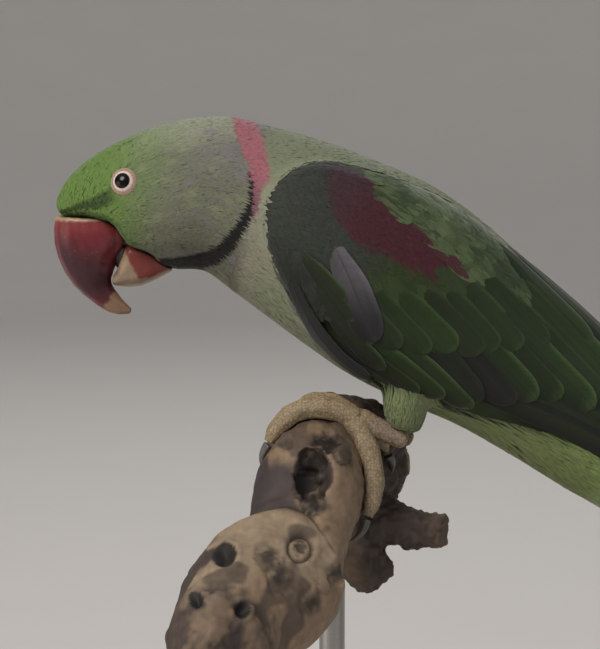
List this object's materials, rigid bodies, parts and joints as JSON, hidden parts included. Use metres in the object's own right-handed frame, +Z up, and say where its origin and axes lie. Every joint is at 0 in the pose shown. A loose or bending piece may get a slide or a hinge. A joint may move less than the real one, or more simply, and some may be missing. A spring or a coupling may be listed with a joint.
{
  "type": "alexandrine parakeet model",
  "caption": "Life-size still model of an adult male Alexandrine parakeet gripping a cut length of knotty branch, held up by a plain round base and a rod.",
  "frame": {"origin": "centre of the round base's underside", "axes": "+Z up; the bird faces -X with its left side towards -Y; its body and tail slope down towards +X"},
  "size_m": [0.4588, 0.196, 0.3251],
  "materials": {
    "plumage_green": "soft matt feathers, grass green",
    "plumage_grey_green": "soft matt feathers, grey-green",
    "wing_green": "firm overlapping feathers, dark green with a maroon shoulder patch",
    "tail_green": "long firm feathers, green turning blue, with yellowish tips",
    "bill_red": "satin red horn with a pale tip",
    "tongue_dark": "matt black",
    "eye_dark": "polished, dark pupil and pale iris",
    "foot_skin": "fine dry scales, tan",
    "claw_horn": "satin dark grey horn",
    "branch_wood": "bare weathered branch, tan and purple-brown",
    "stand_wood": "satin dark stained wood",
    "stand_steel": "brushed steel"
  },
  "bodies": {
    "root": {"bill_lower": "bill_red", "bill_upper": "bill_red", "claw_left_inner_front": "claw_horn", "claw_left_inner_hind": "claw_horn", "claw_left_outer_front": "claw_horn", "claw_left_outer_hind": "claw_horn", "claw_right_inner_front": "claw_horn", "claw_right_inner_hind": "claw_horn", "claw_right_outer_front": "claw_horn", "claw_right_outer_hind": "claw_horn", "eye_left": "eye_dark", "eye_right": "eye_dark", "head": "plumage_green", "leg_left_foot": "foot_skin", "leg_left_thigh": "plumage_green", "leg_right_foot": "foot_skin", "leg_right_thigh": "plumage_green", "neck": "plumage_grey_green", "perch_branch": "branch_wood", "stand_base": "stand_wood", "stand_collar": "stand_steel", "stand_rod": "stand_steel", "tail_coverts": "plumage_green", "tail_feather_left_1": "tail_green", "tail_feather_left_2": "tail_green", "tail_feather_left_3": "tail_green", "tail_feather_left_4": "tail_green", "tail_feather_left_5": "tail_green", "tail_feather_left_6": "tail_green", "tail_feather_right_1": "tail_green", "tail_feather_right_2": "tail_green", "tail_feather_right_3": "tail_green", "tail_feather_right_4": "tail_green", "tail_feather_right_5": "tail_green", "tail_feather_right_6": "tail_green", "tongue": "tongue_dark", "trunk": "plumage_grey_green", "wing_left_primaries": "wing_green", "wing_left_secondaries": "wing_green", "wing_left_shoulder": "wing_green", "wing_right_primaries": "wing_green", "wing_right_secondaries": "wing_green", "wing_right_shoulder": "wing_green"}
  },
  "joints": []
}
